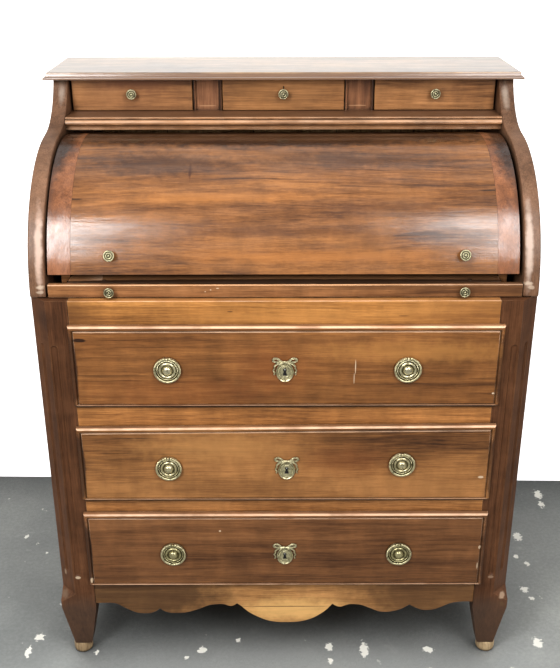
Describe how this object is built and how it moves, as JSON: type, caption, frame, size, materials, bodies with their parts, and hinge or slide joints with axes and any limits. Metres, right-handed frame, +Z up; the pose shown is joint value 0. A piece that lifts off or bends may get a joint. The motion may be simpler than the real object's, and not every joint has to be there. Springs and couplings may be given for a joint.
{
  "type": "roll top desk",
  "caption": "Roll top writing desk: a curved lid closes over a pull-out writing surface, between lipped drawers with ring pulls below and small knobbed drawers under a moulded top.",
  "frame": {"origin": "on the floor, under the middle of the desk's bounding box", "axes": "+Z up; +Y towards the back, so the front faces -Y; +X towards the right of someone facing the front"},
  "size_m": [0.9694, 0.592, 1.187],
  "materials": {
    "walnut": "French polished walnut, horizontal grain, softly glossy",
    "dark_walnut": "dark polished walnut, upright grain, worn at the edges",
    "inner_wood": "unpolished pale wood of the hidden parts",
    "pad": "bare worn wood",
    "brass": "old lacquered brass with dark recesses"
  },
  "bodies": {
    "case": {"post_front_left": "dark_walnut", "post_front_right": "dark_walnut", "post_rear_left": "dark_walnut", "post_rear_right": "dark_walnut", "foot_pad_front_left": "pad", "foot_pad_front_right": "pad", "foot_pad_rear_left": "pad", "foot_pad_rear_right": "pad", "side_panel_left": "walnut", "side_panel_right": "walnut", "back_panel": "inner_wood", "frieze_rail": "walnut", "drawer_rail_upper": "walnut", "drawer_rail_lower": "walnut", "case_bottom": "inner_wood", "apron": "walnut", "deck_board": "inner_wood", "gable_left": "dark_walnut", "gable_right": "dark_walnut", "gradin_shelf": "walnut", "gradin_divider_left": "walnut", "gradin_divider_right": "walnut", "top_board": "walnut", "pigeonholes": "walnut"},
    "lid": {"lid_panel": "walnut", "lid_end_left": "walnut", "lid_end_right": "walnut", "knob_lid_left": "brass", "knob_lid_right": "brass"},
    "slide": {"writing_slide": "walnut", "slide_front": "walnut", "knob_slide_left": "brass", "knob_slide_right": "brass"},
    "drawer_1": {"drawer_front_1": "walnut", "drawer_box_1": "inner_wood", "escutcheon_1": "brass", "rosette_1_left": "brass", "rosette_1_right": "brass"},
    "drawer_2": {"drawer_front_2": "walnut", "drawer_box_2": "inner_wood", "escutcheon_2": "brass", "rosette_2_left": "brass", "rosette_2_right": "brass"},
    "drawer_3": {"drawer_front_3": "walnut", "drawer_box_3": "inner_wood", "escutcheon_3": "brass", "rosette_3_left": "brass", "rosette_3_right": "brass"},
    "drawer_small_left": {"small_drawer_left": "walnut", "knob_small_left": "brass"},
    "drawer_small_centre": {"small_drawer_centre": "walnut", "knob_small_centre": "brass"},
    "drawer_small_right": {"small_drawer_right": "walnut", "knob_small_right": "brass"},
    "pull_1_left": {"ring_1_left": "brass"},
    "pull_1_right": {"ring_1_right": "brass"},
    "pull_2_left": {"ring_2_left": "brass"},
    "pull_2_right": {"ring_2_right": "brass"},
    "pull_3_left": {"ring_3_left": "brass"},
    "pull_3_right": {"ring_3_right": "brass"}
  },
  "joints": [
    {"name": "lid_turn", "type": "hinge", "parent": "case", "child": "lid", "pos_m": [0, 0.002, 0.824], "axis": [-1, 0, 0], "range_deg": [0, 70]},
    {"name": "slide_pull", "type": "slide", "parent": "case", "child": "slide", "axis": [0, -1, 0], "range_m": [0, 0.25]},
    {"name": "drawer_1_pull", "type": "slide", "parent": "case", "child": "drawer_1", "axis": [0, -1, 0], "range_m": [0, 0.38]},
    {"name": "drawer_2_pull", "type": "slide", "parent": "case", "child": "drawer_2", "axis": [0, -1, 0], "range_m": [0, 0.38]},
    {"name": "drawer_3_pull", "type": "slide", "parent": "case", "child": "drawer_3", "axis": [0, -1, 0], "range_m": [0, 0.38]},
    {"name": "drawer_small_left_pull", "type": "slide", "parent": "case", "child": "drawer_small_left", "axis": [0, -1, 0], "range_m": [0, 0.12]},
    {"name": "drawer_small_centre_pull", "type": "slide", "parent": "case", "child": "drawer_small_centre", "axis": [0, -1, 0], "range_m": [0, 0.12]},
    {"name": "drawer_small_right_pull", "type": "slide", "parent": "case", "child": "drawer_small_right", "axis": [0, -1, 0], "range_m": [0, 0.12]},
    {"name": "pull_1_left_swing", "type": "hinge", "parent": "drawer_1", "child": "pull_1_left", "pos_m": [-0.2188, -0.2905, 0.7226], "axis": [-1, 0, 0], "range_deg": [0, 90]},
    {"name": "pull_1_right_swing", "type": "hinge", "parent": "drawer_1", "child": "pull_1_right", "pos_m": [0.2309, -0.2905, 0.7226], "axis": [-1, 0, 0], "range_deg": [0, 90]},
    {"name": "pull_2_left_swing", "type": "hinge", "parent": "drawer_2", "child": "pull_2_left", "pos_m": [-0.2261, -0.2905, 0.5093], "axis": [-1, 0, 0], "range_deg": [0, 90]},
    {"name": "pull_2_right_swing", "type": "hinge", "parent": "drawer_2", "child": "pull_2_right", "pos_m": [0.2295, -0.2905, 0.5172], "axis": [-1, 0, 0], "range_deg": [0, 90]},
    {"name": "pull_3_left_swing", "type": "hinge", "parent": "drawer_3", "child": "pull_3_left", "pos_m": [-0.2265, -0.2905, 0.3061], "axis": [-1, 0, 0], "range_deg": [0, 90]},
    {"name": "pull_3_right_swing", "type": "hinge", "parent": "drawer_3", "child": "pull_3_right", "pos_m": [0.233, -0.2905, 0.3061], "axis": [-1, 0, 0], "range_deg": [0, 90]}
  ]
}
